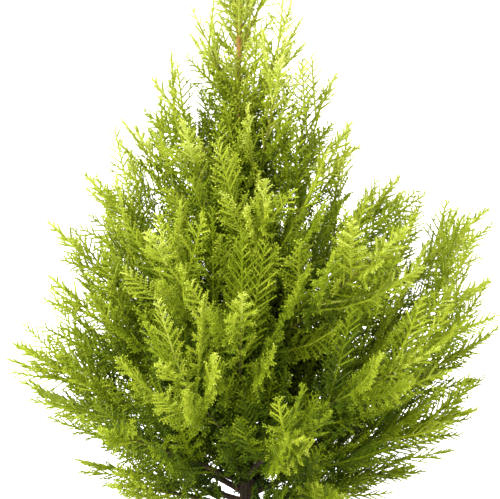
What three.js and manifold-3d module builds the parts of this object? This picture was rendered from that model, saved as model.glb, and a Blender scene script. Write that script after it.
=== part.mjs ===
// A young cypress rooted in the ground: a trunk that runs up to the leader, bare boughs low down,
// and plumes of foliage round the trunk. A plume is one stem with toothed sprays of scale leaves.
// Millimetres and degrees. z = 0 is the ground, +X the tree's right side, -Y its front.
import * as THREE from "three";
import Module from "manifold-3d";

const wasm = await Module();
wasm.setup();

// Driving dimensions
const TRUNK = {
  height: 600,
  footRadius: 7.2,
  topRadius: 1.7,
  flare: 0.75,
  flareHeight: 14,
  buttresses: 5,
  buttressDepth: 0.16,
  lean: 6,
  sway: 2,
  swayPitch: 260,
  sides: 10,
  steps: 24,
};

// How far the crown reaches from the trunk's foot at each height, on its right and on its left.
const CROWN = {
  heights: [30, 60, 100, 150, 210, 270, 330, 370, 420, 475, 540, 600, 640],
  right: [122, 168, 214, 246, 262, 250, 266, 154, 128, 100, 57, 30, 16],
  left: [122, 178, 196, 238, 244, 208, 203, 165, 140, 90, 58, 30, 16],
};

// Tiers of plumes from the ground up. turn is the first plume's azimuth, root and tip are the heights where
// a plume leaves the trunk and where it ends, climb spreads the roots upwards, arch lifts the middle
// of the line by that share of its length, and bough is the share of the line that is a bare limb.
const TIERS = [
  { name: "skirt", plumes: 5, turn: 12, root: 28, climb: 16, tip: 70, arch: 0.05, bough: 0.34 },
  { name: "lower", plumes: 6, turn: -12, root: 46, climb: 22, tip: 142, arch: 0.03, bough: 0.34 },
  { name: "broad", plumes: 6, turn: 17, root: 68, climb: 30, tip: 210, arch: 0, bough: 0 },
  { name: "middle", plumes: 5, turn: -14, root: 98, climb: 34, tip: 270, arch: -0.02, bough: 0 },
  { name: "shoulder", plumes: 6, turn: 12, root: 136, climb: 44, tip: 328, arch: -0.03, bough: 0 },
  { name: "collar", plumes: 4, turn: 10, root: 190, climb: 38, tip: 372, arch: -0.04, bough: 0 },
  { name: "upper", plumes: 4, turn: -28, root: 242, climb: 44, tip: 418, arch: -0.04, bough: 0 },
  { name: "neck", plumes: 4, turn: 16, root: 308, climb: 54, tip: 474, arch: -0.04, bough: 0 },
  { name: "crest", plumes: 3, turn: -30, root: 398, climb: 50, tip: 534, arch: -0.04, bough: 0 },
  { name: "spire", plumes: 3, turn: 0, root: 490, climb: 40, tip: 588, arch: -0.04, bough: 0 },
];
const SCATTER = { azimuth: 6, tip: 8, reach: 0.05, arch: 0.03, sweep: 0.04 };
const LEADER_TOP = 640;

const BOUGH = { rootRadius: 3.4, tipRadius: 2.3, sides: 5, steps: 4 };
const STEM = { rootRadius: 2.4, tipRadius: 1.3, sides: 3, steps: 4, end: 0.74 };
const SPRAY = {
  spacing: 22,
  fewest: 5,
  most: 9,
  first: 0.07,
  firstOnTrunk: 0.24,
  last: 0.82,
  long: 0.6,
  short: 12,
  rootAngle: 50,
  tipAngle: 34,
  turn: 137.5,
  bend: 0.3,
  lift: 0.16,
  shortest: 18,
  footRadius: 0.7,
  rootRadius: 1.3,
  tipRadius: 0.8,
  // share of the wanted length and extra turn, tried in this order
  tries: [
    [1, 0],
    [0.95, 25],
    [0.95, -25],
    [0.82, 0],
    [0.82, 50],
    [0.82, -50],
    [0.68, 0],
    [0.68, 90],
    [0.68, -90],
    [0.54, 0],
    [0.54, 180],
    [0.4, 45],
    [0.4, -45],
  ],
};
const TOOTH = {
  pairs: 3,
  fewerBelow: 62,
  from: 0.14,
  to: 0.84,
  long: 0.4,
  short: 3.5,
  sweep: 0.85,
};

const GAP = 0.3; // between two solids that carry each other
const ROOM = 2; // from a plume's tips to the middle of the gap between two plumes, and to the trunk
const CLEAR = 0.8; // between two sprays of one plume
const SLIVER = 0.02; // edges shorter than this are closed up

const BARK = 0x7a4b2c;
const FOLIAGE = [0x6d8a16, 0x97ad1f, 0xb9c73a]; // low, middle and high tiers
const PALER_FROM = [3, 7]; // the tiers at which the middle and the high colour begin

const up = new THREE.Vector3(0, 0, 1);
const radians = THREE.MathUtils.degToRad;
const share = (from, to, part) => from + (to - from) * part;

// The same number from 0 to 1 each time for two whole numbers, and one from -1 to 1.
function chance(row, column) {
  const value = Math.sin(row * 127.1 + column * 311.7) * 43758.5453;
  return value - Math.floor(value);
}
const scatter = (row, column) => 2 * chance(row, column) - 1;

// The trunk's middle line leans to the left and sways a little.
function trunkAt(height) {
  const lean = (-TRUNK.lean * height) / TRUNK.height;
  const sway = TRUNK.sway * Math.sin((2 * Math.PI * height) / TRUNK.swayPitch);
  return new THREE.Vector3(lean + sway, 0, height);
}

// The trunk tapers evenly, and flares into buttresses at the ground.
function trunkRadius(height, angle = 0) {
  const taper = share(TRUNK.footRadius, TRUNK.topRadius, (height / TRUNK.height) ** 0.8);
  const flare = TRUNK.flare * Math.exp(-height / TRUNK.flareHeight);
  return taper * (1 + flare * (1 + TRUNK.buttressDepth * Math.cos(TRUNK.buttresses * angle)));
}

// The crown's reach at a height and azimuth, between the right side's and the left side's.
function crownReach(height, azimuth) {
  const { heights } = CROWN;
  const last = heights.length - 1;
  const z = THREE.MathUtils.clamp(height, heights[0], heights[last]);
  const i = Math.min(last - 1, heights.findLastIndex((h) => h <= z));
  const part = (z - heights[i]) / (heights[i + 1] - heights[i]);
  const right = share(CROWN.right[i], CROWN.right[i + 1], part);
  const left = share(CROWN.left[i], CROWN.left[i + 1], part);
  return share(left, right, (1 + Math.cos(azimuth)) / 2);
}

// A closed solid from its corners and its triangles.
function solidFrom(corners, faces) {
  const vertProperties = new Float32Array(corners.flatMap((c) => c.toArray()));
  const triVerts = new Uint32Array(faces.flat());
  return new wasm.Manifold(new wasm.Mesh({ numProp: 3, vertProperties, triVerts }));
}

// Two directions square to a line's direction, the first nearest to a wanted one.
function crossFrame(direction, wanted) {
  const side = wanted.clone().addScaledVector(direction, -wanted.dot(direction)).normalize();
  return { side, over: direction.clone().cross(side) };
}

// The corners of one ring round a point on a line.
function ringCorners(centre, { side, over }, sides, radiusAt) {
  return Array.from({ length: sides }, (_, k) => {
    const angle = (2 * Math.PI * k) / sides;
    const radius = radiusAt(angle);
    return centre
      .clone()
      .addScaledVector(side, radius * Math.cos(angle))
      .addScaledVector(over, radius * Math.sin(angle));
  });
}

// A limb with flat ends: rings of corners along a line, joined by two triangles a side.
function limb(pointAt, directionAt, wanted, radiusAt, { sides, steps }) {
  const corners = [];
  const faces = [];
  for (let step = 0; step <= steps; step++) {
    const part = step / steps;
    const frame = crossFrame(directionAt(part), wanted);
    corners.push(...ringCorners(pointAt(part), frame, sides, (angle) => radiusAt(part, angle)));
  }
  for (let step = 0; step < steps; step++) {
    for (let k = 0; k < sides; k++) {
      const a = step * sides + k;
      const b = step * sides + ((k + 1) % sides);
      faces.push([a, b, b + sides], [a, b + sides, a + sides]);
    }
  }
  const top = steps * sides;
  for (let k = 1; k < sides - 1; k++) {
    faces.push([0, k + 1, k], [top, top + k, top + k + 1]);
  }
  return solidFrom(corners, faces);
}

function makeTrunk(extra = 0) {
  const heightAt = (part) => TRUNK.height * part ** 1.35; // rings lie closer near the flare
  return limb(
    (part) => trunkAt(heightAt(part)),
    () => up,
    new THREE.Vector3(1, 0, 0),
    (part, angle) => trunkRadius(heightAt(part), angle) + extra,
    TRUNK,
  );
}

// The line of one plume, from the trunk's middle to its tip on the crown's outline.
function plumeLine(tier, row, index) {
  const azimuth = radians(
    tier.turn + (360 * index) / tier.plumes + SCATTER.azimuth * scatter(row, 1),
  );
  const outward = new THREE.Vector3(Math.cos(azimuth), Math.sin(azimuth), 0);
  const sideways = new THREE.Vector3(-outward.y, outward.x, 0);
  const climb = (index * SPRAY.turn) / 360;
  const root = trunkAt(tier.root + tier.climb * (climb - Math.floor(climb)));
  const height = tier.tip + SCATTER.tip * scatter(row, 2);
  const reach = crownReach(height, azimuth) * (1 - SCATTER.reach * chance(row, 3));
  const tip = outward.clone().multiplyScalar(reach).setZ(height);
  const length = tip.distanceTo(root);
  const middle = root
    .clone()
    .lerp(tip, 0.5)
    .addScaledVector(up, (tier.arch + SCATTER.arch * scatter(row, 4)) * length)
    .addScaledVector(sideways, SCATTER.sweep * scatter(row, 5) * length);
  return { curve: new THREE.QuadraticBezierCurve3(root, middle, tip), sideways };
}

function leaderLine() {
  const root = trunkAt(TRUNK.height);
  root.z += GAP;
  const tip = trunkAt(LEADER_TOP);
  const curve = new THREE.QuadraticBezierCurve3(root, root.clone().lerp(tip, 0.5), tip);
  return { curve, sideways: new THREE.Vector3(0, 1, 0) };
}

// Every plume with its name, its line, the same line as a chain of points, and the share of it
// that is a bare bough.
function layOutPlumes() {
  const plumes = [];
  TIERS.forEach((tier, level) => {
    for (let index = 0; index < tier.plumes; index++) {
      const row = 16 * (level + 1) + index;
      plumes.push({
        ...plumeLine(tier, row, index),
        name: `${tier.name}_plume_${index + 1}`,
        boughName: `${tier.name}_bough_${index + 1}`,
        bough: tier.bough,
        level,
        row,
      });
    }
  });
  plumes.push({
    ...leaderLine(),
    name: "leader_plume",
    bough: 0,
    onTop: true,
    level: TIERS.length,
    row: 1,
  });
  plumes.forEach((plume) => {
    plume.chain = plume.curve.getPoints(20);
  });
  return plumes;
}

// The nearest distance from a point to a chain of points.
function distanceTo(chain, point) {
  const segment = new THREE.Line3();
  const nearest = new THREE.Vector3();
  let least = Infinity;
  for (let i = 1; i < chain.length; i++) {
    segment.set(chain[i - 1], chain[i]).closestPointToPoint(point, true, nearest);
    least = Math.min(least, nearest.distanceTo(point));
  }
  return least;
}

// A point is in a plume's own space when it lies inside the crown's outline, off the trunk,
// and nearer to the plume's line than to any other plume's.
function inOwnSpace(plume, plumes, point) {
  const flat = Math.hypot(point.x, point.y);
  if (flat > crownReach(point.z, Math.atan2(point.y, point.x)) + ROOM) return false;
  if (point.z > LEADER_TOP || point.z < CROWN.heights[0]) return false;
  const trunkHeight = Math.min(point.z, TRUNK.height);
  if (trunkAt(trunkHeight).distanceTo(point) < trunkRadius(trunkHeight) + ROOM) return false;
  const own = distanceTo(plume.chain, point) + ROOM;
  return plumes.every((other) => other === plume || distanceTo(other.chain, point) > own);
}

// A spray is a slim three-sided core. Past its plain root two of its faces carry pairs of teeth that
// sweep forwards, out along broad. line is the spray's middle line.
function sprayShape(line, broad) {
  const length = line.getLength();
  const pairs = length < TOOTH.fewerBelow ? TOOTH.pairs - 1 : TOOTH.pairs;
  const corners = [];
  const faces = [];
  const rings = [0];
  for (let i = 0; i <= pairs; i++) {
    rings.push(share(TOOTH.from, TOOTH.to, i / pairs));
  }
  rings.forEach((part) => {
    const { side, over } = crossFrame(line.getTangent(part), broad);
    const radius = part === 0 ? SPRAY.footRadius : share(SPRAY.rootRadius, SPRAY.tipRadius, part);
    const frame = { side: over, over: side.negate() };
    corners.push(...ringCorners(line.getPoint(part), frame, 3, () => radius));
  });
  const tips = [];
  const addTip = (point) => {
    tips.push(point);
    return corners.push(point) - 1;
  };
  for (let step = 0; step <= pairs; step++) {
    const middle = (rings[step] + rings[step + 1]) / 2;
    const direction = line.getTangent(middle);
    const { side } = crossFrame(direction, broad);
    const reach = TOOTH.long * length * (1 - middle) ** 0.8 + TOOTH.short;
    for (let k = 0; k < 3; k++) {
      const a = step * 3 + k;
      const b = step * 3 + ((k + 1) % 3);
      if (k === 1 || step === 0) {
        faces.push([a, b, b + 3], [a, b + 3, a + 3]);
        continue;
      }
      const tooth = line
        .getPoint(rings[step + 1])
        .addScaledVector(side, k === 0 ? -reach : reach)
        .addScaledVector(direction, TOOTH.sweep * reach);
      const t = addTip(tooth);
      faces.push([a, b, t], [b, b + 3, t], [b + 3, a + 3, t], [a + 3, a, t]);
    }
  }
  const end = (pairs + 1) * 3;
  const t = addTip(line.getPoint(1));
  faces.push([0, 2, 1], [end, end + 1, t], [end + 1, end + 2, t], [end + 2, end, t]);
  return { solid: solidFrom(corners, faces), tips };
}

// The line of a plume's side spray, which leaves the stem at its place in the spiral, turned by
// an extra angle, and bends forwards and up.
function sprayLine(plume, part, wanted, turn) {
  const along = share(plume.bough, 1, part);
  const start = plume.curve.getPoint(along);
  const direction = plume.curve.getTangent(along);
  const { side, over } = crossFrame(direction, plume.sideways);
  const away = side.multiplyScalar(Math.cos(turn)).addScaledVector(over, Math.sin(turn));
  const angle = radians(share(SPRAY.rootAngle, SPRAY.tipAngle, part));
  const heading = direction
    .clone()
    .multiplyScalar(Math.cos(angle))
    .addScaledVector(away, Math.sin(angle));
  const onward = heading
    .clone()
    .addScaledVector(direction, SPRAY.bend)
    .addScaledVector(up, SPRAY.lift)
    .normalize();
  const middle = start.clone().addScaledVector(heading, wanted / 2);
  const line = new THREE.QuadraticBezierCurve3(
    start,
    middle,
    middle.clone().addScaledVector(onward, wanted / 2),
  );
  return { line, away, over: away.clone().cross(direction) };
}

// The side sprays of a plume stand round its stem by a fixed turn, and shorten towards its tip.
// One that would leave the plume's own space or touch another is turned or shortened, and
// skipped where nothing fits.
function sideSprays(plume, plumes, stemLength, terminal) {
  const { row, bough, onTop } = plume;
  const count = THREE.MathUtils.clamp(
    Math.round(stemLength / SPRAY.spacing),
    SPRAY.fewest,
    SPRAY.most,
  );
  const first = bough > 0 || onTop ? SPRAY.first : SPRAY.firstOnTrunk;
  const sprays = [terminal];
  for (let k = 0; k < count; k++) {
    const part = share(first, SPRAY.last, k / (count - 1));
    const wanted = SPRAY.long * stemLength * (1 - part) ** 0.8 + SPRAY.short;
    const turn = 360 * chance(row, 6) + k * SPRAY.turn;
    const fit = SPRAY.tries
      .map(([shrink, extra]) => {
        const length = wanted * shrink;
        if (length < SPRAY.shortest) return null;
        const { line, away, over } = sprayLine(plume, part, length, radians(turn + extra));
        const { solid, tips } = sprayShape(line, over.addScaledVector(away, scatter(row, 40 + k)));
        return { solid, checked: [...tips, line.getPoint(0.4), line.getPoint(0.7)] };
      })
      .find(
        (spray) =>
          spray &&
          spray.checked.every((point) => inOwnSpace(plume, plumes, point)) &&
          sprays.every((other) => spray.solid.minGap(other, CLEAR) >= CLEAR),
      );
    if (fit) sprays.push(fit.solid);
  }
  return sprays;
}

// A plume's stem with its side sprays, and its own end as one more spray, fused into one solid.
function makePlume(plume, plumes, trunkRoom) {
  const { curve, bough, sideways } = plume;
  const start = bough > 0 ? bough + GAP / curve.getLength() : 0;
  const stemLength = curve.getLength() * (1 - bough);
  const along = (part) => share(start, share(start, 1, STEM.end), part);
  const stem = limb(
    (part) => curve.getPoint(along(part)),
    (part) => curve.getTangent(along(part)),
    sideways,
    (part) => share(STEM.rootRadius, STEM.tipRadius, part),
    STEM,
  );
  const endStart = curve.getPoint(share(start, 1, STEM.end - 0.02));
  const endLine = new THREE.QuadraticBezierCurve3(
    endStart,
    curve.getPoint(share(start, 1, (1 + STEM.end) / 2)),
    curve.getPoint(1),
  );
  const terminal = sprayShape(endLine, sideways).solid;
  const sprays = sideSprays(plume, plumes, stemLength, terminal);
  const whole = wasm.Manifold.union([stem, ...sprays]);
  const onTrunk = bough === 0 && !plume.onTop;
  return (onTrunk ? largest(whole.subtract(trunkRoom)) : whole).simplify(SLIVER);
}

// A bough runs from the trunk's bark to where its plume begins.
function makeBough({ curve, bough, sideways }, trunkRoom) {
  const whole = limb(
    (part) => curve.getPoint(part * bough),
    (part) => curve.getTangent(part * bough),
    sideways,
    (part) => share(BOUGH.rootRadius, BOUGH.tipRadius, part),
    BOUGH,
  );
  return largest(whole.subtract(trunkRoom));
}

function largest(solid) {
  return solid.decompose().sort((a, b) => b.volume() - a.volume())[0];
}

// A mesh placed at a point of the tree, with its geometry kept relative to that point.
function meshOf(name, solid, origin, material) {
  const { numProp, vertProperties, triVerts } = solid.getMesh();
  const count = vertProperties.length / numProp;
  const positions = new Float32Array(count * 3);
  for (let i = 0; i < count; i++) {
    positions.set(vertProperties.subarray(i * numProp, i * numProp + 3), i * 3);
  }
  const geometry = new THREE.BufferGeometry();
  geometry.setAttribute("position", new THREE.BufferAttribute(positions, 3));
  geometry.setIndex(new THREE.BufferAttribute(triVerts, 1));
  geometry.translate(-origin.x, -origin.y, -origin.z);
  geometry.computeVertexNormals();
  const mesh = new THREE.Mesh(geometry, material);
  mesh.name = name;
  mesh.position.copy(origin);
  return mesh;
}

const woody = () => new THREE.MeshStandardMaterial({ color: BARK, roughness: 0.9, flatShading: true });

function leafy(level) {
  const color = FOLIAGE[PALER_FROM.filter((from) => level >= from).length];
  return new THREE.MeshStandardMaterial({ color, roughness: 0.6, flatShading: true });
}

// The trunk stands in the tree's group, and each tier's boughs and plumes in a group of their own.
function growTree() {
  const tree = new THREE.Group();
  const trunkRoom = makeTrunk(GAP);
  tree.add(meshOf("trunk", makeTrunk(), new THREE.Vector3(), woody()));
  const plumes = layOutPlumes();
  const tiers = [...TIERS, { name: "leader" }].map(({ name }) => {
    const group = new THREE.Group();
    group.name = name;
    tree.add(group);
    return group;
  });
  plumes.forEach((plume) => {
    const { curve, bough, name, boughName, level } = plume;
    if (bough > 0) {
      tiers[level].add(meshOf(boughName, makeBough(plume, trunkRoom), curve.getPoint(0), woody()));
    }
    const foliage = makePlume(plume, plumes, trunkRoom);
    tiers[level].add(meshOf(name, foliage, curve.getPoint(bough), leafy(level)));
  });
  return tree;
}

export default growTree();
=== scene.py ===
import math

import bpy
import numpy as np
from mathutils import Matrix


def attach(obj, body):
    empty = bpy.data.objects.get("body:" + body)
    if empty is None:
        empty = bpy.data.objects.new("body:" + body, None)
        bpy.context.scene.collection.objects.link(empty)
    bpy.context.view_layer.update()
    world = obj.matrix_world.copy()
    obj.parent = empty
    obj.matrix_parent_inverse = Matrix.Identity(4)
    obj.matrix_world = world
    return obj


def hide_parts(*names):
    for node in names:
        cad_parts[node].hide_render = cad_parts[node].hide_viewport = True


# A young cypress: the trunk and boughs get bark, and each plume of the frame is grown on from its
# limb by the same rule as the solids, down to the needles. Lengths are in millimetres and angles
# in degrees until a mesh is made.
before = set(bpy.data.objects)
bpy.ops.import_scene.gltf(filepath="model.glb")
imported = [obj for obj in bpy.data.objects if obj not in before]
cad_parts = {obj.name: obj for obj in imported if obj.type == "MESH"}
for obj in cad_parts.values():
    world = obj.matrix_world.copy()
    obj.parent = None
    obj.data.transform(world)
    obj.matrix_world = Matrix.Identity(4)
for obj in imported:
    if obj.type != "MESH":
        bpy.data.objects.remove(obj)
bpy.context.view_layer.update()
seeded = np.random.default_rng(31)
up = np.array([0.0, 0.0, 1.0])
millimetre = 0.001
print("frame loaded:", len(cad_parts), "nodes")

chanceRule = {"row": 127.1, "column": 311.7, "size": 43758.5453, "rowsPerTier": 16}
# The column of chance that each choice reads. Sprays add their place to theirs.
columns = {
    "azimuth": 1, "tip": 2, "reach": 3, "arch": 4, "sweep": 5, "stemTurn": 6, "needleTurn": 3,
    "shootTurn": 7, "shootLength": 8, "shootAngle": 9, "shootLight": 10,
    "sprayTurn": 50, "sprayLength": 90, "sprayLight": 170,
}


# The same number from 0 to 1 each time for two numbers: the fraction of a large sine.
def chance(row, column):
    value = np.sin(np.asarray(row) * chanceRule["row"] + np.asarray(column) * chanceRule["column"])
    value = value * chanceRule["size"]
    return value - np.floor(value)


# The same from -1 to 1.
def scatter(row, column):
    return 2 * chance(row, column) - 1


# low + (high - low) x share.
def mix(low, high, share):
    return low + (high - low) * share


# Each vector over its own length.
def unit(vectors):
    return vectors / np.maximum(np.linalg.norm(vectors, axis=-1, keepdims=True), 1e-9)


# The sum of the products, kept as a last axis of one.
def dot(a, b):
    return np.sum(a * b, axis=-1, keepdims=True)


# Point and direction on quadratic curves: (1-t)^2 a + 2t(1-t) b + t^2 c, and its slope.
def curvePoint(line, t):
    t = np.asarray(t)[..., None]
    a, b, c = line
    return (1 - t) ** 2 * a + 2 * t * (1 - t) * b + t**2 * c


def curveHeading(line, t):
    t = np.asarray(t)[..., None]
    a, b, c = line
    return unit((1 - t) * (b - a) + t * (c - b))


# The first stretch of a curve, up to a share of it.
def cutCurve(line, share):
    share = np.asarray(share)[..., None]
    a, b, c = line
    return a, mix(a, b, share), (1 - share) ** 2 * a + 2 * share * (1 - share) * b + share**2 * c


trunkShape = {
    "height": 600, "footRadius": 7.2, "topRadius": 1.7, "taperPower": 0.8,
    "flare": 0.75, "flareHeight": 14, "buttresses": 5, "buttressDepth": 0.16,
    "lean": 6, "sway": 2, "swayPitch": 260,
}
crownShape = {
    "heights": [30, 60, 100, 150, 210, 270, 330, 370, 420, 475, 540, 600, 640],
    "right": [122, 168, 214, 246, 262, 250, 266, 154, 128, 100, 57, 30, 16],
    "left": [122, 178, 196, 238, 244, 208, 203, 165, 140, 90, 58, 30, 16],
    "leaderTop": 640, "leaderGap": 0.3,
}
# name, plumes, first azimuth, root height, climb of the roots, tip height, arch, bare share
tiers = [
    ("skirt", 5, 12, 28, 16, 70, 0.05, 0.34),
    ("lower", 6, -12, 46, 22, 142, 0.03, 0.34),
    ("broad", 6, 17, 68, 30, 210, 0, 0),
    ("middle", 5, -14, 98, 34, 270, -0.02, 0),
    ("shoulder", 6, 12, 136, 44, 328, -0.03, 0),
    ("collar", 4, 10, 190, 38, 372, -0.04, 0),
    ("upper", 4, -28, 242, 44, 418, -0.04, 0),
    ("neck", 4, 16, 308, 54, 474, -0.04, 0),
    ("crest", 3, -30, 398, 50, 534, -0.04, 0),
    ("spire", 3, 0, 490, 40, 588, -0.04, 0),
]
tierNames = [tier[0] for tier in tiers] + ["leader"]
spread = {"azimuth": 6, "tip": 8, "reach": 0.05, "arch": 0.03, "sweep": 0.04, "turn": 137.5}


# The trunk's middle line leans evenly and sways as a sine.
def trunkAt(height):
    height = np.asarray(height, dtype=float)
    x = -trunkShape["lean"] * height / trunkShape["height"]
    x = x + trunkShape["sway"] * np.sin(2 * np.pi * height / trunkShape["swayPitch"])
    return np.stack([x, 0 * x, height], axis=-1)


# Radius: a taper by a power of the height, times one plus a flare that dies away upwards and swells
# in five lobes.
def trunkRadius(height, angle):
    share = (np.asarray(height) / trunkShape["height"]) ** trunkShape["taperPower"]
    taper = mix(trunkShape["footRadius"], trunkShape["topRadius"], share)
    flare = trunkShape["flare"] * np.exp(-np.asarray(height) / trunkShape["flareHeight"])
    lobes = 1 + trunkShape["buttressDepth"] * np.cos(trunkShape["buttresses"] * np.asarray(angle))
    return taper * (1 + flare * lobes)


# The crown's reach: each side's reach at that height, mixed by the cosine of the azimuth.
def crownReach(points):
    height = points[..., 2]
    right = np.interp(height, crownShape["heights"], crownShape["right"])
    left = np.interp(height, crownShape["heights"], crownShape["left"])
    azimuth = np.arctan2(points[..., 1], points[..., 0])
    return mix(left, right, (1 + np.cos(azimuth)) / 2)


# One line a plume, from the trunk's middle to its tip on the crown's outline; its middle point is
# halfway between, raised by the arch and moved sideways by the sweep. The leader's plume runs on
# along the trunk's line.
def layOutPlumes():
    plumes = []
    for level, (name, count, turn, root, climb, tip, arch, bare) in enumerate(tiers):
        for index in range(count):
            row = chanceRule["rowsPerTier"] * (level + 1) + index
            azimuth = spread["azimuth"] * scatter(row, columns["azimuth"])
            azimuth = math.radians(turn + 360 * index / count + azimuth)
            outward = np.array([math.cos(azimuth), math.sin(azimuth), 0])
            sideways = np.array([-outward[1], outward[0], 0])
            start = trunkAt(root + climb * (index * spread["turn"] / 360 % 1))
            end = outward * 1000 + up * (tip + spread["tip"] * scatter(row, columns["tip"]))
            # So far only the end's direction and height count.
            reach = crownReach(end) * (1 - spread["reach"] * chance(row, columns["reach"]))
            end[:2] = outward[:2] * reach
            length = np.linalg.norm(end - start)
            middle = (start + end) / 2
            middle = middle + up * (arch + spread["arch"] * scatter(row, columns["arch"])) * length
            middle = middle + sideways * spread["sweep"] * scatter(row, columns["sweep"]) * length
            plumes.append({
                "line": (start, middle, end), "sideways": sideways, "bare": bare, "level": level,
                "row": row, "node": f"{name}_plume_{index + 1}", "bough": f"{name}_bough_{index + 1}",
            })
    start = trunkAt(trunkShape["height"]) + up * crownShape["leaderGap"]
    end = trunkAt(crownShape["leaderTop"])
    plumes.append({
        "line": (start, (start + end) / 2, end), "sideways": np.array([0.0, 1.0, 0.0]), "bare": 0,
        "level": len(tiers), "row": 1, "node": "leader_plume", "bough": "",
    })
    return plumes


plumes = layOutPlumes()
plumeLines = tuple(np.array([p["line"][i] for p in plumes]) for i in range(3))
plumeSideways = np.array([p["sideways"] for p in plumes])
plumeBare = np.array([p["bare"] for p in plumes], dtype=float)
plumeRows = np.array([p["row"] for p in plumes])
plumeLevels = np.array([p["level"] for p in plumes])
chainShares = np.linspace(0, 1, 15)
chainPoints = np.stack([curvePoint(plumeLines, np.full(len(plumes), t)) for t in chainShares], 1)
plumeLengths = np.linalg.norm(np.diff(chainPoints, axis=1), axis=-1).sum(1)
print("plumes laid out:", len(plumes))


# Distance from each point to each plume's line: the least to any straight stretch of its chain.
def distancesToPlumes(points):
    distances = np.empty((len(points), len(plumes)))
    for index, chain in enumerate(chainPoints):
        along = np.diff(chain, axis=0)
        fromStart = points[:, None] - chain[:-1]
        share = np.clip(dot(fromStart, along) / dot(along, along), 0, 1)
        distances[:, index] = np.linalg.norm(fromStart - share * along, axis=-1).min(1)
    return distances


# How far short of the crown's outline the side sprays stop, so that the plumes' own tips stand out,
# how far above the leader they may reach, and how clear of the trunk they stay.
trim = {
    "heights": [150, 210, 270, 330, 372, 420, 475, 560],
    "right": [0, 0, 0, 6, 16, 26, 20, 4],
    "left": [0, 0, 22, 34, 16, 6, 4, 0],
    "tipWidth": 24, "aboveTop": 2, "offTrunk": 1,
}


# Whether each point lies inside the crown's outline, clear of the trunk and in its plume's space.
# The outline is drawn in by the trim, mixed like the reach, further than a tip's width from the
# plume's own line, and by part of it nearer.
def inOwnSpace(points, owners, slack, overlap):
    distances = distancesToPlumes(points)
    own = distances[np.arange(len(points)), owners]
    reach = np.hypot(points[:, 0], points[:, 1])
    right, left = (np.interp(points[:, 2], trim["heights"], trim[side]) for side in ("right", "left"))
    short = mix(left, right, (1 + points[:, 0] / np.maximum(reach, 1)) / 2)
    short = short * np.clip(own / trim["tipWidth"], 0, 1) ** 2
    inside = reach < crownReach(points) + slack - short
    inside &= points[:, 2] < crownShape["leaderTop"] + trim["aboveTop"]
    inside &= points[:, 2] > crownShape["heights"][0]
    height = np.minimum(points[:, 2], trunkShape["height"])
    fromTrunk = np.linalg.norm(points - trunkAt(height), axis=-1)
    inside &= fromTrunk > trunkRadius(height, 0) + trim["offTrunk"]
    distances[np.arange(len(points)), owners] = np.inf
    return inside & (own < distances.min(1) + overlap)


# Numbers each child of each parent: the parent of each, and the child's place in its row.
def childrenOf(counts):
    parents = np.repeat(np.arange(len(counts)), counts)
    firsts = np.cumsum(counts) - counts
    return parents, np.arange(counts.sum()) - firsts[parents]


# Two directions square to the heading, the first square to the spray's face too.
def acrossFrame(heading, face):
    side = unit(np.cross(face, heading))
    return side, np.cross(heading, side)


tries = np.linspace(0.3, 1, 8)  # shares of a line at which it is tried


# The share of each line that stays in its plume's space: the last try before one fails, or 0.
def shareInside(lines, owners, slack, overlap):
    points = np.concatenate([curvePoint(lines, np.full(len(owners), t)) for t in tries])
    fine = inOwnSpace(points, np.tile(owners, len(tries)), slack, overlap).reshape(len(tries), -1)
    passed = np.cumprod(fine, axis=0).sum(0)
    return np.where(passed > 0, tries[np.maximum(passed - 1, 0)], 0)


sprayRule = {
    "spacing": 3.8, "first": -0.34, "firstOnTrunk": 0.08, "last": 0.985,
    "slope": 0.4, "short": 4, "widest": 23, "flankWidest": 58,
    "branchEvery": 3, "branchUntil": 0.8, "branchReach": 0.8, "longest": 150, "shortest": 5,
    "rootAngle": 52, "tipAngle": 42, "branchAngle": (23, 34), "flankAngle": 0.5,
    "rise": 0.08, "bend": 0.08, "lift": 0.1, "branchLift": (0.08, 0.36), "liftHeights": (70, 250),
    "frontLift": 0.75, "turnScatter": 18, "lengthShares": (0.75, 1.1),
    "faceTurn": 75, "faceScatter": 0.3, "slack": 2, "overlap": 54, "tipLight": 0.2,
}
# How many times wider the sprays stand than the spacing, by the height of the plume's tip.
openness = {
    "heights": [70, 142, 210, 270, 330, 372, 418, 474, 534, 588],
    "right": [1.1, 1.0, 1.05, 1.05, 0.95, 0.9, 1.4, 1.6, 1.7, 1.6],
    "left": [2.4, 1.4, 1.0, 1.2, 1.15, 1.0, 1.1, 1.5, 1.7, 1.5],
    "front": [1.0, 1.35, 1.45, 1.4, 1.2, 1.1, 1.0, 1.0, 1.0, 1.0],
}


# Each side's openness at the tip's height, mixed by the cosine of the azimuth; towards the front it
# is multiplied by the front's.
def opennessOf(tips, forward):
    sides = ("right", "left", "front")
    right, left, front = (np.interp(tips[:, 2], openness["heights"], openness[side]) for side in sides)
    return mix(left, right, (1 + unit(tips * [1, 1, 0])[:, 0]) / 2) * mix(1, front, forward)


flankRule = {"heights": (150, 280), "power": 4}


# How far each plume counts to the lower flanks: falling with the tip's height, times a power of
# the cosine between its azimuth and the nearer side.
def flankShare():
    tips = plumeLines[2]
    sideways = np.abs(unit(tips * [1, 1, 0])[:, 0]) ** flankRule["power"]
    return np.interp(tips[:, 2], flankRule["heights"], (1, 0)) * sideways


plumeFlank = flankShare()


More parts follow.
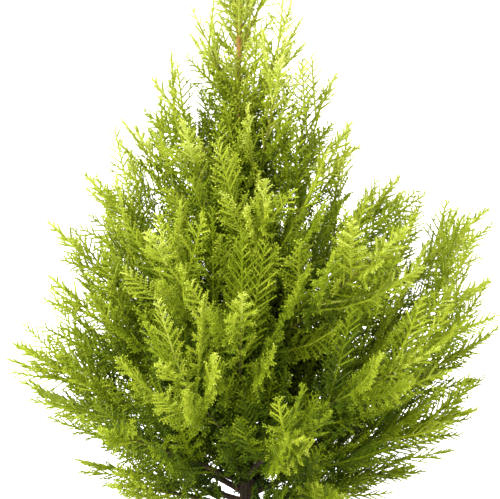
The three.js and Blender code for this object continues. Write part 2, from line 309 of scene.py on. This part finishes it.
# Side sprays of the plumes, in a spiral of 137.5 degrees round the stem, spaced by the openness.
# Most are threads as long as slope x distance from the plume's tip + short, up to the widest; on
# the lower flanks they are longer and lie closer to the stem. Every third one, short of the outer
# part, is a branch as long as a share of the stem x sqrt(1-part), up to the longest. It stands off
# the stem and rises more, the higher its plume's tip is, and rises most at the front. All bend
# forwards and up and are cut where their plume's space ends. Their flat sides face outwards, turned
# at random about the vertical.
def growSprays():
    stem = plumeLengths * (1 - plumeBare)
    first = np.where(plumeBare > 0, sprayRule["first"], sprayRule["firstOnTrunk"])
    tips = plumeLines[2]
    forward = np.maximum(-unit(tips * [1, 1, 0])[:, 1], 0) ** 2
    spacing = sprayRule["spacing"] * opennessOf(tips, forward)
    counts = np.round((sprayRule["last"] - first) * stem / spacing).astype(int)
    owner, place = childrenOf(counts)
    part = mix(first[owner], sprayRule["last"], place / (counts[owner] - 1))
    along = mix(plumeBare[owner], 1, part)
    lines = tuple(points[owner] for points in plumeLines)
    start = curvePoint(lines, along)
    heading = curveHeading(lines, along)
    side = plumeSideways[owner]
    side = unit(side - heading * dot(side, heading))
    over = np.cross(heading, side)
    row = plumeRows[owner]
    turn = 360 * chance(row, columns["stemTurn"]) + place * spread["turn"]
    turn = turn + sprayRule["turnScatter"] * scatter(row, columns["sprayTurn"] + place)
    turn = np.radians(turn)[:, None]
    away = unit(side * np.cos(turn) + over * np.sin(turn))
    branch = (place % sprayRule["branchEvery"] == 0) & (part < sprayRule["branchUntil"])
    branchAngle = np.interp(tips[:, 2], sprayRule["liftHeights"], sprayRule["branchAngle"])[owner]
    flank = plumeFlank[owner]
    threadAngle = mix(sprayRule["rootAngle"], sprayRule["tipAngle"], part)
    threadAngle = threadAngle * mix(1, sprayRule["flankAngle"], flank)
    angle = np.where(branch, branchAngle, threadAngle)
    angle = np.radians(angle)[:, None]
    outward = unit(heading * np.cos(angle) + away * np.sin(angle) + sprayRule["rise"] * up)
    widest = mix(sprayRule["widest"], sprayRule["flankWidest"], flank)
    thread = np.minimum(sprayRule["slope"] * stem[owner] * (1 - part) + sprayRule["short"], widest)
    long = np.minimum(sprayRule["branchReach"] * stem[owner] * np.sqrt(1 - part), sprayRule["longest"])
    wanted = np.where(branch, long, thread)
    wanted = wanted * mix(*sprayRule["lengthShares"], chance(row, columns["sprayLength"] + place))
    lift = np.interp(tips[:, 2], sprayRule["liftHeights"], sprayRule["branchLift"])
    lift = mix(lift, sprayRule["frontLift"], forward)[owner]
    lift = np.where(branch, lift, sprayRule["lift"])[:, None]
    onward = unit(outward + sprayRule["bend"] * heading + lift * up)
    middle = start + outward * wanted[:, None] / 2
    sprays = (start, middle, middle + onward * wanted[:, None] / 2)
    share = shareInside(sprays, owner, sprayRule["slack"], sprayRule["overlap"])
    kept = share * wanted > sprayRule["shortest"]
    turn = np.radians(sprayRule["faceTurn"] * seeded.uniform(-1, 1, len(wanted)))[:, None]
    face = unit(middle * [1, 1, 0])
    face = face * np.cos(turn) + np.cross(face, up) * np.sin(turn)
    face = face + sprayRule["faceScatter"] * seeded.uniform(-1, 1, middle.shape)
    lightness = mix(chance(row, columns["sprayLight"] + place), part, sprayRule["tipLight"])
    return {
        "line": tuple(points[kept] for points in cutCurve(sprays, share)),
        "length": (share * wanted)[kept], "owner": owner[kept], "face": face[kept],
        "lightness": lightness[kept],
    }


shootRule = {
    "from": 50, "thinFrom": 400, "to": 598, "spacing": (3.2, 7), "turnScatter": 20,
    "angle": 52, "topAngle": 46, "angleScatter": 7, "widening": (300, 430), "reach": (0.6, 0.75),
    "aimHeight": 40, "aimRise": 0.9,
    "lengthShares": (0.8, 1.0), "longest": (84, 140), "shortest": 12, "bend": 0.3,
    "faceScatter": 0.5, "slack": 2, "overlap": 60, "lightness": 0.8,
}


# Shoots on the trunk itself, in a spiral between the plumes, farther apart above a height. Each is
# as long as a share of the crown's reach where it points, over the sine of its angle, up to the
# longest: short ones inside the lower crown, longer ones higher up. Where it points is above its
# root by a share of the reach a little higher up. Each counts to the plume that it is nearest.
def growShoots():
    dense, thin = shootRule["spacing"]
    height = np.concatenate([
        np.arange(shootRule["from"], shootRule["thinFrom"], dense),
        np.arange(shootRule["thinFrom"], shootRule["to"], thin),
    ])
    place = np.arange(len(height))
    turn = shootRule["turnScatter"] * scatter(place, columns["shootTurn"])
    turn = np.radians(place * spread["turn"] + turn)
    away = np.stack([np.cos(turn), np.sin(turn), 0 * turn], -1)
    start = trunkAt(height)
    angle = mix(shootRule["angle"], shootRule["topAngle"], height / trunkShape["height"])
    angle = angle + shootRule["angleScatter"] * scatter(place, columns["shootAngle"])
    angle = np.radians(angle)[:, None]
    outward = up * np.cos(angle) + away * np.sin(angle)
    share = np.interp(height, shootRule["widening"], shootRule["reach"])
    share = share * mix(*shootRule["lengthShares"], chance(place, columns["shootLength"]))
    rise = crownReach(start + away + up * shootRule["aimHeight"])[:, None]
    aim = start + away + up * shootRule["aimRise"] * rise
    wanted = crownReach(aim) * share / np.sin(angle[:, 0])
    wanted = np.minimum(wanted, np.interp(height, shootRule["widening"], shootRule["longest"]))[:, None]
    middle = start + outward * wanted / 2
    shoots = (start, middle, middle + unit(outward + shootRule["bend"] * up) * wanted / 2)
    owner = np.argmin(distancesToPlumes(middle), axis=1)
    inside = shareInside(shoots, owner, shootRule["slack"], shootRule["overlap"])
    kept = inside * wanted[:, 0] > shootRule["shortest"]
    return {
        "line": tuple(points[kept] for points in cutCurve(shoots, inside)),
        "length": (inside * wanted[:, 0])[kept], "owner": owner[kept],
        "face": away[kept] + shootRule["faceScatter"] * seeded.uniform(-1, 1, (kept.sum(), 3)),
        "lightness": shootRule["lightness"] * chance(place, columns["shootLight"])[kept],
    }


endRule = {"from": 0.8, "lightness": 0.8}


# A plume's own end counts as one more spray, so that twigs and needles carry on to its tip.
def growEnds():
    owner = np.arange(len(plumes))
    start = curvePoint(plumeLines, np.full(len(plumes), endRule["from"]))
    middle = curvePoint(plumeLines, np.full(len(plumes), (1 + endRule["from"]) / 2))
    end = plumeLines[2]
    return {
        "line": (start, middle, end), "length": np.linalg.norm(end - start, axis=-1), "owner": owner,
        "face": np.cross(end - start, plumeSideways),
        "lightness": np.full(len(plumes), endRule["lightness"]),
    }


stemKeys = ("length", "owner", "face", "lightness")


# Several groups of stems as one.
def together(*groups):
    whole = {key: np.concatenate([group[key] for group in groups]) for key in stemKeys}
    whole["line"] = tuple(np.concatenate([group["line"][i] for group in groups]) for i in range(3))
    return whole


# Twigs stand alternately on both sides of each parent, at an even spacing. Each is as long as
# slope x distance from the parent's tip + short, up to the longest, times a random share, and bends
# forwards. They lie closer to the parent on the lower flanks. Those that leave their plume's space
# are dropped.
def growTwigs(parents, rule):
    stretch = (rule["last"] - rule["first"]) * parents["length"]
    counts = np.round(stretch / rule["spacing"]).astype(int)
    counts[parents["length"] < rule["leastParent"]] = 0
    parent, place = childrenOf(counts)
    part = mix(rule["first"], rule["last"], (place + 0.5) / counts[parent])
    lines = tuple(points[parent] for points in parents["line"])
    start = curvePoint(lines, part)
    heading = curveHeading(lines, part)
    side, over = acrossFrame(heading, parents["face"][parent])
    roll = np.radians(rule["roll"] * seeded.uniform(-1, 1, len(parent)))[:, None]
    hand = np.where(place % 2 == 0, 1.0, -1.0)[:, None]
    away = side * hand * np.cos(roll) + over * np.sin(roll)
    owner = parents["owner"][parent]
    angle = mix(rule["rootAngle"], rule["tipAngle"], part)
    angle = angle + rule["angleScatter"] * seeded.uniform(-1, 1, len(parent))
    angle = np.radians(angle * mix(1, rule["flankAngle"], plumeFlank[owner]))[:, None]
    outward = heading * np.cos(angle) + away * np.sin(angle)
    length = rule["slope"] * parents["length"][parent] * (1 - part) + rule["short"]
    length = np.minimum(length, rule["longest"]) * seeded.uniform(*rule["lengthShares"], len(parent))
    onward = unit(outward + rule["bend"] * heading)
    middle = start + outward * length[:, None] / 2
    end = middle + onward * length[:, None] / 2
    kept = inOwnSpace(end, owner, rule["slack"], rule["overlap"])
    face = parents["face"][parent][kept] + rule["faceScatter"] * seeded.uniform(-1, 1, (kept.sum(), 3))
    lightness = parents["lightness"][parent] + rule["tipLight"] * (part - 0.5)
    lightness = lightness + rule["lightScatter"] * seeded.uniform(-1, 1, len(parent))
    return {
        "line": (start[kept], middle[kept], end[kept]), "length": length[kept], "owner": owner[kept],
        "face": face, "lightness": lightness[kept],
    }


twigRule = {
    "spacing": 3.9, "first": 0.06, "last": 0.97, "leastParent": 24, "roll": 32,
    "rootAngle": 49, "tipAngle": 40, "angleScatter": 4, "flankAngle": 0.6,
    "slope": 0.4, "short": 3.8, "longest": 22, "lengthShares": (0.8, 1.15),
    "bend": 0.06, "slack": 4, "overlap": 60, "faceScatter": 0.35,
    "tipLight": 0.3, "lightScatter": 0.12,
}
twigletRule = {
    "spacing": 9, "first": 0.3, "last": 0.8, "leastParent": 18, "roll": 25,
    "rootAngle": 46, "tipAngle": 40, "angleScatter": 5, "flankAngle": 0.8,
    "slope": 0.4, "short": 2.4, "longest": 9, "lengthShares": (0.8, 1.15),
    "bend": 0.1, "slack": 5, "overlap": 64, "faceScatter": 0.3,
    "tipLight": 0.2, "lightScatter": 0.08,
}
sprays = together(growSprays(), growShoots(), growEnds())
twigs = growTwigs(sprays, twigRule)
twiglets = growTwigs(twigs, twigletRule)
for name, stems in (("sprays", sprays), ("twigs", twigs), ("twiglets", twiglets)):
    print(name, "grown:", len(stems["length"]))


tubeEnd = 0.9


# Rings of corners carried along each curve, the radius shrinking evenly up to the tube's end, from
# where a point closes it.
def tubes(stems, rootRadius, tipRadius, sides, steps):
    count = len(stems["length"])
    t = np.linspace(0, tubeEnd, steps)
    lines = tuple(points[:, None] for points in stems["line"])
    centre = curvePoint(lines, np.broadcast_to(t, (count, steps)))
    heading = curveHeading(lines, np.broadcast_to(t, (count, steps)))
    side, over = acrossFrame(heading, stems["face"][:, None])
    angle = 2 * np.pi * np.arange(sides) / sides
    radius = np.broadcast_to(mix(rootRadius, tipRadius, t), (count, steps))
    ring = side[:, :, None] * np.cos(angle)[:, None] + over[:, :, None] * np.sin(angle)[:, None]
    rings = centre[:, :, None] + ring * radius[:, :, None, None]
    points = np.concatenate([rings.reshape(count, steps * sides, 3), stems["line"][2][:, None]], axis=1)
    k = np.arange(sides)
    nextK = (k + 1) % sides
    faces = []
    for step in range(steps - 1):
        a, b = step * sides + k, step * sides + nextK
        faces += [np.stack([a, b, b + sides], 1), np.stack([a, b + sides, a + sides], 1)]
    last = (steps - 1) * sides
    faces.append(np.stack([last + k, last + nextK, np.full(sides, steps * sides)], 1))
    faces = np.concatenate(faces)
    offsets = np.arange(count)[:, None, None] * (steps * sides + 1)
    return points, faces + offsets


needleRule = {
    "spacing": 1.4, "innerSpacing": 4.4, "length": 2.2, "width": 1.05, "innerSize": 2.2, "fold": 0.16,
    "angle": 62, "tipAngle": 40, "angleScatter": 6, "rollScatter": 0.25, "lengthShares": (0.8, 1.15),
    "widest": 0.45, "tipShare": 0.85, "seat": 0.7, "airyHeights": (380, 500), "airyOut": (0, 0.85),
}


# How far out each stem's tip stands: 0 at the trunk, 1 on the crown's outline, and more near the
# top, where light comes in from all sides.
def outwardness(stems):
    tip = stems["line"][2]
    out = np.clip(np.hypot(tip[:, 0], tip[:, 1]) / crownReach(tip), 0, 1)
    return np.maximum(out, np.interp(tip[:, 2], needleRule["airyHeights"], needleRule["airyOut"]))


# Needles in crossed pairs along each stem, every pair a quarter turn from the last, fewer and
# larger inside the crown. Each is a kite of two faces folded along its middle: root, widest on
# either side, tip.
def needles(stems, first, radius):
    out = outwardness(stems)
    spacing = mix(needleRule["innerSpacing"], needleRule["spacing"], out)
    counts = np.maximum(np.ceil(stems["length"] * (1 - first) / spacing), 2).astype(int)
    stem, place = childrenOf(counts)
    size = mix(needleRule["innerSize"], 1, out)[stem]
    part = first + (1 - first) * (place + 0.5) / counts[stem]
    lines = tuple(points[stem] for points in stems["line"])
    centre = curvePoint(lines, part)
    heading = curveHeading(lines, part)
    side, over = acrossFrame(heading, stems["face"][stem])
    turn = np.pi / 2 * place + 2 * np.pi * chance(stem, columns["needleTurn"])
    turn = turn + needleRule["rollScatter"] * seeded.uniform(-1, 1, len(stem))
    parts = []
    for opposite in (0, np.pi):
        roll = (turn + opposite)[:, None]
        away = side * np.cos(roll) + over * np.sin(roll)
        across = np.cross(heading, away)
        angle = mix(needleRule["angle"], needleRule["tipAngle"], part**3)
        angle = angle + needleRule["angleScatter"] * seeded.uniform(-1, 1, len(stem))
        angle = np.radians(angle)[:, None]
        pointing = heading * np.cos(angle) + away * np.sin(angle)
        upper = np.cross(pointing, across)
        length = size * needleRule["length"] * mix(1, needleRule["tipShare"], part**2)
        length = (length * seeded.uniform(*needleRule["lengthShares"], len(stem)))[:, None]
        root = centre + away * radius * needleRule["seat"]
        widest = root + pointing * length * needleRule["widest"]
        widest = widest - upper * needleRule["fold"] * needleRule["width"]
        half = across * (size * needleRule["width"] / 2)[:, None]
        parts.append(np.stack([root, widest - half, root + pointing * length, widest + half], 1))
    points = np.stack(parts, 1).reshape(len(stem), 8, 3)
    pair = np.array([[0, 2, 1], [0, 3, 2], [4, 6, 5], [4, 7, 6]])
    return points, pair + np.arange(len(stem))[:, None, None] * 8, stem, part


# Puts points in millimetres and triangles into a new mesh object.
def makePiece(name, points, triangles, materials, slots=None, smooth=False):
    points = np.asarray(points).reshape(-1, 3) * millimetre
    triangles = np.asarray(triangles).reshape(-1, 3)
    mesh = bpy.data.meshes.new(name)
    mesh.vertices.add(len(points))
    mesh.vertices.foreach_set("co", points.astype(np.float32).ravel())
    mesh.loops.add(triangles.size)
    mesh.loops.foreach_set("vertex_index", triangles.astype(np.int32).ravel())
    mesh.polygons.add(len(triangles))
    mesh.polygons.foreach_set("loop_start", np.arange(0, triangles.size, 3, dtype=np.int32))
    for material in materials:
        mesh.materials.append(material)
    if slots is not None:
        mesh.polygons.foreach_set("material_index", slots.astype(np.int32))
    mesh.polygons.foreach_set("use_smooth", np.full(len(triangles), smooth))
    mesh.update(calc_edges=True)
    piece = bpy.data.objects.new(name, mesh)
    bpy.context.scene.collection.objects.link(piece)
    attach(piece, "root")
    return piece


# A socket whose operators add Math nodes.
class Value:
    def __init__(self, shader, socket):
        self.shader = shader
        self.socket = socket

    def math(self, operation, a, b):
        return self.shader.add("ShaderNodeMath", {"operation": operation}, {0: a, 1: b})

    def __add__(self, other):
        return self.math("ADD", self, other)

    __radd__ = __add__

    def __sub__(self, other):
        return self.math("SUBTRACT", self, other)

    def __rsub__(self, other):
        return self.math("SUBTRACT", other, self)

    def __mul__(self, other):
        return self.math("MULTIPLY", self, other)

    __rmul__ = __mul__


# A material and its Principled shader, with the fixed values of that shader's own sockets.
class Shader:
    def __init__(self, name, settings):
        self.material = bpy.data.materials.new(name)
        self.material.use_nodes = True
        self.tree = self.material.node_tree
        self.surface = self.tree.nodes["Principled BSDF"]
        for socket, value in settings.items():
            self.surface.inputs[socket].default_value = value

    def set(self, target, value):
        if isinstance(value, Value):
            self.tree.links.new(value.socket, target)
        else:
            target.default_value = value

    # Any other node: its type, its settings, the values or links of its sockets, and its output.
    def add(self, kind, settings, sockets, output=0):
        node = self.tree.nodes.new(kind)
        for name, value in settings.items():
            if name == "stops":
                for index, (place, colour) in enumerate(value):
                    stops = node.color_ramp.elements
                    stop = stops[index] if index < 2 else stops.new(place)
                    stop.position = place
                    stop.color = colour
            else:
                setattr(node, name, value)
        for name, value in sockets.items():
            self.set(node.inputs[name], value)
        return Value(self, node.outputs[output])

    def feed(self, socket, value):
        self.set(self.surface.inputs[socket], value)


# sRGB numbers from 0 to 255 as a linear colour.
def colour(red, green, blue):
    parts = np.array([red, green, blue]) / 255
    linear = np.where(parts <= 0.04045, parts / 12.92, ((parts + 0.055) / 1.055) ** 2.4)
    return (*linear.tolist(), 1.0)


foliageTones = {
    "shadeLeaf": (35, 53, 2),
    "deepLeaf": (70, 89, 3),
    "midLeaf": (106, 122, 8),
    "freshLeaf": (138, 150, 32),
    "limeLeaf": (166, 175, 70),
    "lemonLeaf": (194, 200, 116),
    "tipLeaf": (220, 223, 170),
}
leafFinish = {"Roughness": 0.6, "Specular IOR Level": 0.12}


# A plain leaf: one tone all over.
def leafMaterial(name):
    return Shader(name, {**leafFinish, "Base Color": colour(*foliageTones[name])}).material


leafMaterials = [leafMaterial(name) for name in foliageTones]

barkLook = {
    "grain": (420, 420, 60), "grainDetail": 6.0, "grainRoughness": 0.6, "fibreShare": 0.7,
    "fleck": 900, "fleckDetail": 3.0, "fleckShare": 0.3, "gloss": 0.25,
    "furrow": (30, 24, 16), "ridge": (92, 68, 38), "pale": (166, 126, 62), "stops": (0.34, 0.52, 0.68),
    "paler": 0.7, "shade": 0.2, "dull": 0.98, "shine": 0.2, "relief": 0.5, "reliefDepth": 0.0004,
}


# Bark: long fibres from noise squeezed across the limb, and fine flecks that break them up. It grows
# paler with the height above the ground, and its ridges are less rough than its furrows.
def barkMaterial(name, look):
    shader = Shader(name, {"Specular IOR Level": look["gloss"]})
    place = shader.add("ShaderNodeTexCoord", {}, {}, "Object")
    stretched = shader.add("ShaderNodeMapping", {}, {"Vector": place, "Scale": look["grain"]})
    grain = {"Scale": 1.0, "Detail": look["grainDetail"], "Roughness": look["grainRoughness"]}
    fibres = shader.add("ShaderNodeTexNoise", {}, {"Vector": stretched, **grain})
    fleck = {"Vector": place, "Scale": look["fleck"], "Detail": look["fleckDetail"]}
    flecks = shader.add("ShaderNodeTexNoise", {}, fleck)
    height = fibres * look["fibreShare"] + flecks * look["fleckShare"]
    rise = shader.add("ShaderNodeSeparateXYZ", {}, {"Vector": place}, "Z")
    paler = rise * look["paler"] + (height - look["shade"])
    tones = [colour(*look[name]) for name in ("furrow", "ridge", "pale")]
    ramp = {"stops": list(zip(look["stops"], tones))}
    shader.feed("Base Color", shader.add("ShaderNodeValToRGB", ramp, {"Fac": paler}))
    shader.feed("Roughness", look["dull"] - height * look["shine"])
    relief = {"Height": height, "Strength": look["relief"], "Distance": look["reliefDepth"]}
    shader.feed("Normal", shader.add("ShaderNodeBump", {}, relief))
    return shader.material


bark = barkMaterial("bark", barkLook)
stemBark = barkMaterial("stemBark", {
    **barkLook, "furrow": (50, 48, 12), "ridge": (92, 92, 24), "pale": (134, 134, 40),
    "reliefDepth": 0.0002,
})
print("materials made:", len(leafMaterials) + 2)


trunkRelief = {
    "rings": 420, "sides": 36, "rowPower": 1.2, "fibres": 11, "fibreDepth": 0.05,
    "fineFibres": 23, "fineDepth": 0.025, "fineWander": 1.7, "fineStart": 0.9,
    "wander": 1.6, "wanderPitch": 90, "drift": 0.021, "driftPower": 1.1,
    "ringDepth": 0.02, "ringRate": 0.83, "ringWave": 2, "ringWaves": 3,
}


# Bark relief: one plus two sine waves round the limb, whose phase wanders as a sine along it and
# for the coarse one drifts too, plus fine rings along it that wave as a sine round it.
def barkRelief(angle, along):
    relief = trunkRelief
    wander = relief["wander"] * np.sin(2 * np.pi * along / relief["wanderPitch"])
    drift = relief["drift"] * along ** relief["driftPower"]
    wave = relief["fibreDepth"] * np.sin(relief["fibres"] * angle + wander + drift)
    fine = relief["fineFibres"] * angle - relief["fineWander"] * wander + relief["fineStart"]
    fine = relief["fineDepth"] * np.sin(fine)
    rings = relief["ringRate"] * along + relief["ringWave"] * np.sin(relief["ringWaves"] * angle)
    rings = relief["ringDepth"] * np.sin(rings)
    return 1 + wave + fine + rings


# The faces of a closed grid of rings, with a point at each end.
def gridFaces(rings, sides):
    ring, k = np.meshgrid(np.arange(rings - 1), np.arange(sides), indexing="ij")
    a, b = ring * sides + k, ring * sides + (k + 1) % sides
    halves = ([a, b, b + sides], [a, b + sides, a + sides])
    faces = [np.stack(corners, -1).reshape(-1, 3) for corners in halves]
    k = np.arange(sides)
    last = (rings - 1) * sides
    foot, top = rings * sides, rings * sides + 1
    faces.append(np.stack([np.full(sides, foot), (k + 1) % sides, k], 1))
    faces.append(np.stack([np.full(sides, top), last + k, last + (k + 1) % sides], 1))
    return np.concatenate(faces)


# Trunk surface: the trunk's line plus its radius at each height and angle, times the relief. The
# rings stand closer together near the foot.
def makeTrunk():
    share = np.linspace(0, 1, trunkRelief["rings"])[:, None] ** trunkRelief["rowPower"]
    height = trunkShape["height"] * share
    angle = 2 * np.pi * np.arange(trunkRelief["sides"]) / trunkRelief["sides"]
    radius = trunkRadius(height, angle) * barkRelief(angle, height)
    centre = trunkAt(height[:, 0])
    rim = np.stack([np.cos(angle), np.sin(angle), 0 * angle], -1)
    rings = centre[:, None] + rim * radius[..., None]
    points = np.concatenate([rings.reshape(-1, 3), centre[:1], centre[-1:]])
    faces = gridFaces(trunkRelief["rings"], trunkRelief["sides"])
    piece = makePiece("trunkBark", points, faces, [bark], smooth=True)
    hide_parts("trunk")


boughShape = {
    "rootRadius": 3.3, "tipRadius": 2.2, "rings": 60, "sides": 16, "start": 0.02, "collar": 1.2,
}
stemShape = {
    "rootRadius": 1.9, "tipRadius": 0.4, "rings": 40, "sides": 8, "end": 0.97, "collar": 0.9,
}
collarShare = 0.03  # how fast a collar dies away, as a share of the limb


# A limb along part of a plume's line: rings of corners square to it, whose radius tapers evenly, plus
# a collar that dies away from the root, times the bark's relief.
def limbSurface(line, start, end, rootRadius, tipRadius, rings, sides, collar):
    share = np.linspace(0, 1, rings)
    t = mix(start, end, share)
    lines = tuple(points[None] for points in line)
    centre = curvePoint(lines, t)
    heading = curveHeading(lines, t)
    side, over = acrossFrame(heading, up)
    angle = 2 * np.pi * np.arange(sides) / sides
    length = np.linalg.norm(line[2] - line[0]) * (end - start)
    radius = mix(rootRadius, tipRadius, share) + collar * np.exp(-share / collarShare)
    radius = radius[:, None] * barkRelief(angle, (length * share)[:, None])
    ring = side[:, None] * np.cos(angle)[:, None] + over[:, None] * np.sin(angle)[:, None]
    points = (centre[:, None] + ring * radius[..., None]).reshape(-1, 3)
    return np.concatenate([points, centre[:1], centre[-1:]]), gridFaces(rings, sides)


# Joins several shapes into one list of points and one of faces.
def joined(shapes):
    firsts = np.cumsum([0] + [len(points) for points, _ in shapes[:-1]])
    points = np.concatenate([points for points, _ in shapes])
    return points, np.concatenate([faces + first for (_, faces), first in zip(shapes, firsts)])


# The bare boughs under the lowest tiers, and in every tier the stems that run on inside the plumes.
def makeLimbs():
    for level, tier in enumerate(tierNames):
        mine = [plume for plume in plumes if plume["level"] == level]
        boughs = []
        stems = []
        for plume in mine:
            bare = plume["bare"]
            if bare:
                boughs.append(limbSurface(
                    plume["line"], boughShape["start"], bare,
                    boughShape["rootRadius"], boughShape["tipRadius"],
                    boughShape["rings"], boughShape["sides"], boughShape["collar"],
                ))
            root = boughShape["tipRadius"] if bare else stemShape["rootRadius"]
            stems.append(limbSurface(
                plume["line"], bare, stemShape["end"], root, stemShape["tipRadius"],
                stemShape["rings"], stemShape["sides"], 0 if bare else stemShape["collar"],
            ))
        if boughs:
            piece = makePiece(f"{tier}Boughs", *joined(boughs), [bark], smooth=True)
            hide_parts(*[plume["bough"] for plume in mine])
        piece = makePiece(f"{tier}Stems", *joined(stems), [stemBark], smooth=True)
        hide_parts(*[plume["node"] for plume in mine])


makeTrunk()
makeLimbs()
print("trunk and limbs made")


# depth: darker deep in the crown, partly the needles' own colour and partly painted shade; height:
# paler towards the top and darker low down, painted light and painted shade
toneRule = {
    "depth": 0.3, "depthPower": 1.5, "spray": 0.22, "tip": 0.1, "scatter": 0.06, "height": 0.4,
    "heights": (30, 140, 500), "shares": (0.54, 0.42, 1), "offset": -0.165,
}


# Which leaf colour each needle of each stem takes: darker deep in the crown and paler at its outside,
# partly the inner needles' own darker green and partly painted shade; paler towards the top and
# darker low down, painted light for light shining through the thin top and painted shade on the
# lower crown; and by the spray's own lightness. A needle near its twig's tip is a little paler, by
# the square of its part of the way.
def toneOf(stems, stem, part):
    # Darker deep in the crown: partly the inner needles' own colour, partly painted shade.
    light = toneRule["depth"] * outwardness(stems) ** toneRule["depthPower"]
    light = light + toneRule["spray"] * stems["lightness"]
    height = stems["line"][2][:, 2]
    # Paler towards the top and darker low down: painted light and painted shade.
    light = light + toneRule["height"] * np.interp(height, toneRule["heights"], toneRule["shares"])
    light = light + toneRule["offset"]
    light = light[stem] + toneRule["tip"] * part**2
    light = light + toneRule["scatter"] * seeded.uniform(-1, 1, len(stem))
    return np.clip((light * len(leafMaterials)).astype(int), 0, len(leafMaterials) - 1)


# The stems whose plume is in one tier.
def ofTier(stems, level):
    mine = plumeLevels[stems["owner"]] == level
    picked = {key: stems[key][mine] for key in stemKeys}
    picked["line"] = tuple(points[mine] for points in stems["line"])
    return picked


# root and tip radius, sides and rings of the tube, where its needles start, its radius at them
twigSizes = {
    "spray": (1.2, 0.8, 4, 4, 0.3, 0.9),
    "twig": (0.95, 0.7, 3, 2, 0.06, 0.8),
    "twiglet": (0.8, 0.6, 3, 2, 0.1, 0.6),
}
stemTone = 0.3  # a tube's tone is that of a needle this far along it


# Two pieces a tier: the green tubes of its sprays, twigs and twiglets, and their needles.
def makeFoliage():
    total = 0
    for level, tier in enumerate(tierNames):
        nodes = [plume["node"] for plume in plumes if plume["level"] == level]
        groups = [ofTier(stems, level) for stems in (sprays, twigs, twiglets)]
        twigShapes, twigTones = [], []
        for stems, (root, tip, sides, steps, *_) in zip(groups, twigSizes.values()):
            points, faces = tubes(stems, root, tip, sides, steps)
            twigShapes.append((points.reshape(-1, 3), faces.reshape(-1, 3)))
            each = np.arange(len(points))
            tone = toneOf(stems, each, np.full(len(each), stemTone))
            twigTones.append(np.repeat(tone, faces.shape[1]))
        tones = np.concatenate(twigTones)
        twigPiece = makePiece(f"{tier}Twigs", *joined(twigShapes), leafMaterials, tones)
        leafShapes, leafTones = [], []
        for stems, (*_, start, radius) in zip(groups, twigSizes.values()):
            points, faces, stem, part = needles(stems, start, radius)
            leafShapes.append((points.reshape(-1, 3), faces.reshape(-1, 3)))
            leafTones.append(np.repeat(toneOf(stems, stem, part), faces.shape[1]))
        tones = np.concatenate(leafTones)
        leafPiece = makePiece(f"{tier}Needles", *joined(leafShapes), leafMaterials, tones)
        for piece in (twigPiece, leafPiece):
            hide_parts(*nodes)
            total += len(piece.data.polygons)
        print(tier, "twigs", len(twigPiece.data.polygons), "needles", len(leafPiece.data.polygons))
    print("foliage made:", total, "faces")


makeFoliage()


# metres from here on
viewRule = {"elevation": 3, "distance": 2.2, "width": 0.5, "sensor": 36, "target": (0.005, 0.0, 0.2945)}


# The camera stands in front of the target, level but for a small elevation. Its lens shows the width
# at the target's distance: sensor x distance / width.
def makeCamera():
    camera = bpy.data.cameras.new("camera")
    camera.sensor_width = viewRule["sensor"]
    camera.lens = viewRule["sensor"] * viewRule["distance"] / viewRule["width"]
    holder = bpy.data.objects.new("camera", camera)
    rise = math.radians(viewRule["elevation"])
    back = np.array([0, -math.cos(rise), math.sin(rise)]) * viewRule["distance"]
    holder.location = np.array(viewRule["target"]) + back
    holder.rotation_euler = (math.radians(90) - rise, 0, 0)
    bpy.context.scene.collection.objects.link(holder)
    bpy.context.scene.camera = holder


floorShape = {
    "halfWidth": 8.0, "front": 8.0, "sweepStart": 5.2, "sweepRadius": 0.8, "wallTop": 3.2, "steps": 24,
    "paint": (250, 250, 250), "roughness": 0.9,
}


# The floor's profile runs flat, turns up far behind in a quarter circle and goes on as a wall; it is
# carried straight across.
def makeFloor():
    bend = np.linspace(0, np.pi / 2, floorShape["steps"])
    y = floorShape["sweepStart"] + floorShape["sweepRadius"] * np.sin(bend)
    z = floorShape["sweepRadius"] * (1 - np.cos(bend))
    y = np.concatenate([[-floorShape["front"]], y, y[-1:]])
    z = np.concatenate([[0], z, [floorShape["wallTop"]]])
    x = np.array([-floorShape["halfWidth"], floorShape["halfWidth"]])
    points = np.stack([np.tile(x, len(y)), np.repeat(y, 2), np.repeat(z, 2)], -1)
    a = np.arange(0, 2 * (len(y) - 1), 2)
    faces = np.stack([a, a + 1, a + 3, a + 2], 1)
    mesh = bpy.data.meshes.new("floor")
    mesh.from_pydata(points.tolist(), [], faces.tolist())
    mesh.polygons.foreach_set("use_smooth", np.full(len(faces), True))
    paint = {"Roughness": floorShape["roughness"], "Base Color": colour(*floorShape["paint"])}
    mesh.materials.append(Shader("floorPaint", paint).material)
    floor = bpy.data.objects.new("floor", mesh)
    bpy.context.scene.collection.objects.link(floor)


# name: place, aim, size, watts
lamps = {
    "key": ((-1.5, -3.5, 2.2), (0, 0, 0.3), 3.0, 265),
    "fill": ((2.4, -3.2, 0.9), (0, 0, 0.25), 3.0, 80),
    "side": ((-2.9, -0.3, 1.2), (0, 0, 0.3), 2.4, 90),
    "top": ((-0.2, -0.2, 4.2), (0, 0, 0.3), 2.4, 220),
    "backdrop": ((0, 1.6, 3.2), (0, 5.4, 0.1), 3.0, 520),
}
skyStrength = 0.42


# Square lamps, each turned so that it shines along the line from its place to its aim, and an even
# white sky.
def makeLamps():
    for name, (place, aim, size, watts) in lamps.items():
        lamp = bpy.data.lights.new(name, "AREA")
        lamp.size = size
        lamp.energy = watts
        holder = bpy.data.objects.new(name, lamp)
        holder.location = place
        heading = np.array(aim) - np.array(place)
        turn = math.atan2(heading[1], heading[0]) - math.pi / 2
        drop = math.acos(-heading[2] / np.linalg.norm(heading))
        holder.rotation_euler = (drop, 0, turn)
        bpy.context.scene.collection.objects.link(holder)
    world = bpy.data.worlds.new("world")
    world.use_nodes = True
    world.node_tree.nodes["Background"].inputs["Color"].default_value = (1, 1, 1, 1)
    world.node_tree.nodes["Background"].inputs["Strength"].default_value = skyStrength
    bpy.context.scene.world = world
    bpy.context.scene.view_settings.view_transform = "Standard"


makeCamera()
makeFloor()
makeLamps()
print("studio made")
